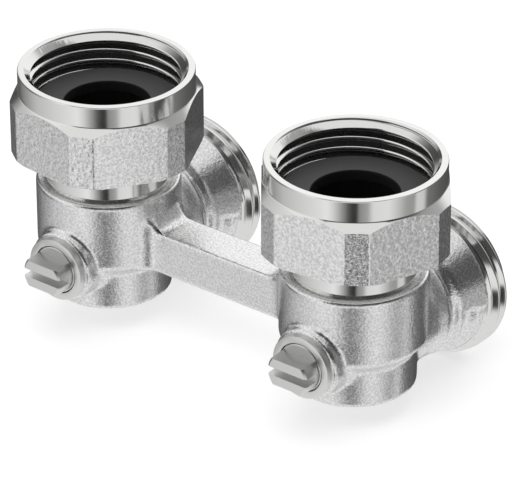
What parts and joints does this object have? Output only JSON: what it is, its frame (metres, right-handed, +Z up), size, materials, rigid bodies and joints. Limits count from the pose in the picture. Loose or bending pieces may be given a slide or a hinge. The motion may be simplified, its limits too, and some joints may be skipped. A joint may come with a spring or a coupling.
{
  "type": "double angle valve",
  "caption": "Double angle shut-off valve block: two ball valves joined by a bar, each with a loose union nut, a rear threaded outlet and a slotted spindle.",
  "frame": {"origin": "under the middle of the bounding box, level with the lowest crest of the outlet threads", "axes": "+X along the bar from the left valve to the right, +Y out of the outlets, spindles towards -Y, +Z up through the union nuts"},
  "size_m": [0.0817, 0.0422, 0.0444],
  "materials": {
    "forged_nickel": "shot-blasted brass forging with matt nickel plating",
    "turned_nickel": "turned brass with bright nickel plating",
    "spring_wire": "drawn stainless wire",
    "grey_rubber": "matt dark fibre-reinforced rubber",
    "black_rubber": "smooth black rubber",
    "ball_chrome": "polished chrome on brass",
    "ptfe": "white PTFE",
    "raw_brass": "plain turned brass"
  },
  "bodies": {
    "block": {"valve_block": "forged_nickel", "left_snap_ring": "spring_wire", "right_snap_ring": "spring_wire", "left_gasket": "grey_rubber", "right_gasket": "grey_rubber", "left_top_seat": "ptfe", "right_top_seat": "ptfe", "left_rear_seat": "ptfe", "right_rear_seat": "ptfe", "left_seat_retainer": "raw_brass", "right_seat_retainer": "raw_brass", "left_thrust_washer": "ptfe", "right_thrust_washer": "ptfe"},
    "left_nut": {"left_union_nut": "turned_nickel"},
    "left_shutoff": {"left_spindle": "turned_nickel", "left_ball": "ball_chrome", "left_inner_o_ring": "black_rubber", "left_outer_o_ring": "black_rubber"},
    "right_nut": {"right_union_nut": "turned_nickel"},
    "right_shutoff": {"right_spindle": "turned_nickel", "right_ball": "ball_chrome", "right_inner_o_ring": "black_rubber", "right_outer_o_ring": "black_rubber"}
  },
  "joints": [
    {"name": "left_nut_turn", "type": "hinge", "parent": "block", "child": "left_nut", "pos_m": [-0.025, -0.00355, 0.0373], "axis": [0, 0, 1], "continuous": true},
    {"name": "left_shutoff_turn", "type": "hinge", "parent": "block", "child": "left_shutoff", "pos_m": [-0.025, -0.01355, 0.0131], "axis": [0, 1, 0], "range_deg": [0, 90]},
    {"name": "right_nut_turn", "type": "hinge", "parent": "block", "child": "right_nut", "pos_m": [0.025, -0.00355, 0.0373], "axis": [0, 0, 1], "continuous": true},
    {"name": "right_shutoff_turn", "type": "hinge", "parent": "block", "child": "right_shutoff", "pos_m": [0.025, -0.01355, 0.0131], "axis": [0, 1, 0], "range_deg": [0, 90]}
  ]
}
